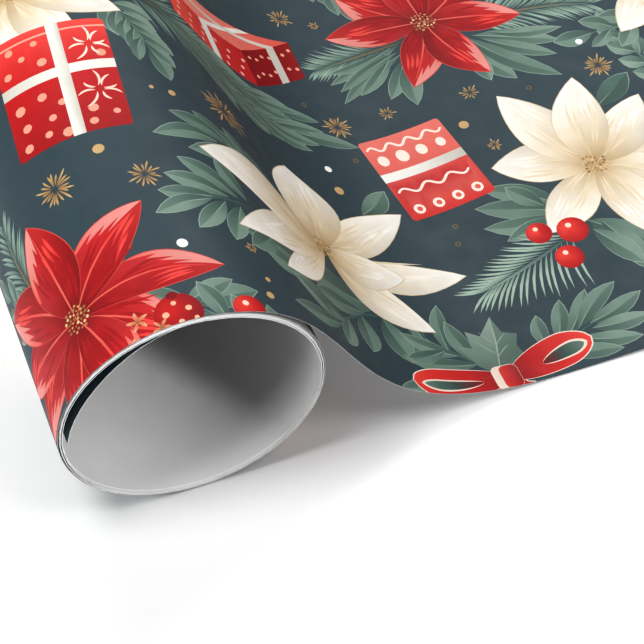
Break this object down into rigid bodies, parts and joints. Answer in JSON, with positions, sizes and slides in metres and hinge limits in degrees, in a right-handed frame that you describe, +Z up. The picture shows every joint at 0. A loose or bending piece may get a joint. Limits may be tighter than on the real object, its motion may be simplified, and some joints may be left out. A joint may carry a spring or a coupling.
{
  "type": "wrapping paper roll",
  "caption": "Coreless roll of gift wrapping paper with its outer stretch drawn off over a curve and laid flat, printed side up, and a loose inner edge.",
  "frame": {"origin": "on the floor, at the middle of the footprint", "axes": "+Y along the roll, +Z up, +X the way the sheet is drawn off the roll"},
  "size_m": [0.5046, 0.762, 0.0599],
  "materials": {
    "printed_paper": "matt paper printed on its outer face, navy ground with red, cream, green and gold, white on its inner face",
    "plain_back": "the same paper seen from its unprinted inner face, matt white"
  },
  "bodies": {
    "web": {"outer_turn": "printed_paper", "lift_off_curve": "printed_paper", "laid_sheet": "printed_paper"},
    "drawn_end": {"drawn_end": "printed_paper"},
    "free_edge": {"free_edge": "printed_paper"},
    "coil": {"coil_turn_6": "plain_back"},
    "turn_5": {"coil_turn_5": "plain_back"},
    "turn_4": {"coil_turn_4": "plain_back"},
    "turn_3": {"coil_turn_3": "plain_back"},
    "turn_2": {"coil_turn_2": "plain_back"},
    "turn_1": {"coil_turn_1": "plain_back"},
    "inner_flap": {"inner_flap": "plain_back"}
  },
  "joints": [
    {"name": "sheet_draw", "type": "slide", "parent": "web", "child": "drawn_end", "axis": [1, 0, 0], "range_m": [0, 0.2352]},
    {"name": "coil_spin", "type": "hinge", "parent": "web", "child": "coil", "pos_m": [-0.22232, 0, 0.02993], "axis": [0, 1, 0], "range_deg": [0, 450]},
    {"name": "edge_lift", "type": "hinge", "parent": "drawn_end", "child": "free_edge", "pos_m": [0.20228, 0, 0.00005], "axis": [0, 1, 0], "range_deg": [-70, 0]},
    {"name": "telescope_1", "type": "slide", "parent": "coil", "child": "turn_1", "axis": [0, 1, 0], "range_m": [-0.09, 0.09]},
    {"name": "telescope_2", "type": "slide", "parent": "coil", "child": "turn_2", "axis": [0, 1, 0], "range_m": [-0.072, 0.072]},
    {"name": "telescope_3", "type": "slide", "parent": "coil", "child": "turn_3", "axis": [0, 1, 0], "range_m": [-0.054, 0.054]},
    {"name": "telescope_4", "type": "slide", "parent": "coil", "child": "turn_4", "axis": [0, 1, 0], "range_m": [-0.036, 0.036]},
    {"name": "telescope_5", "type": "slide", "parent": "coil", "child": "turn_5", "axis": [0, 1, 0], "range_m": [-0.018, 0.018]},
    {"name": "flap_curl", "type": "hinge", "parent": "turn_1", "child": "inner_flap", "pos_m": [-0.21781, 0, 0.05834], "axis": [0, 1, 0], "range_deg": [-30, 1], "stiffness_Nm_per_rad": 0.05, "springref_deg": 0.76}
  ],
  "couplings": [
    {"joint": "coil_spin", "follows": "sheet_draw", "rad_per_m": 33.389},
    {"joint": "telescope_2", "follows": "telescope_1", "ratio": 0.8},
    {"joint": "telescope_3", "follows": "telescope_1", "ratio": 0.6},
    {"joint": "telescope_4", "follows": "telescope_1", "ratio": 0.4},
    {"joint": "telescope_5", "follows": "telescope_1", "ratio": 0.2}
  ]
}
